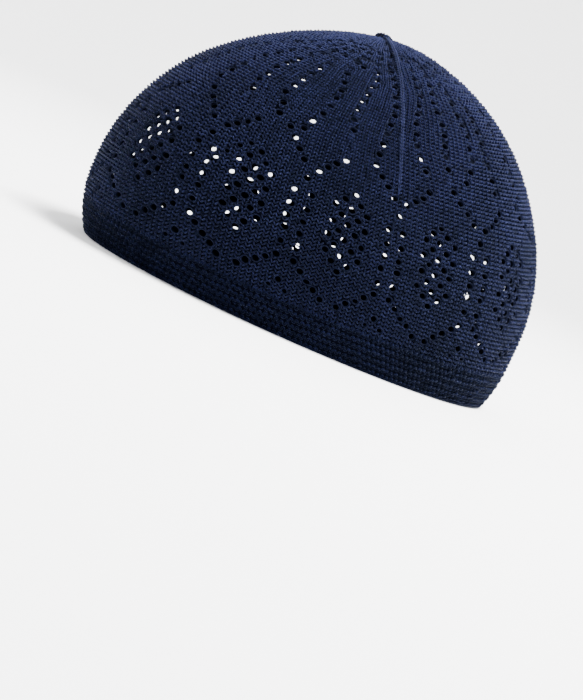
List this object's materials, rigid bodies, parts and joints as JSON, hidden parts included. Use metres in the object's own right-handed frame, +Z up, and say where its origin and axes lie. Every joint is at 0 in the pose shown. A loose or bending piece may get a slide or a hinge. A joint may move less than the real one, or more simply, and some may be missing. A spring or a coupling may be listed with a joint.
{
  "type": "knit kufi cap",
  "caption": "Round pull-on kufi cap of fine lace knit with a ridged edge band, a ring of hexagon eyelet panels, a raised seam and a small gathered tip.",
  "frame": {"origin": "centre of the bounding box at the level of the rim, on which the cap stands", "axes": "+Z up through the crown, -Y towards the brow, +Y towards the nape, +X towards the wearer's left"},
  "size_m": [0.1648, 0.2063, 0.1318],
  "materials": {
    "lace_knit": "matt fine cotton knit, dark navy",
    "garter_band": "matt garter-ridged cotton knit, dark navy",
    "seam_yarn": "matt twisted cotton yarn, dark navy"
  },
  "bodies": {
    "root": {"knit_crown": "lace_knit", "edge_band": "garter_band", "seam_rib": "seam_yarn", "crown_tip": "seam_yarn"}
  },
  "joints": []
}
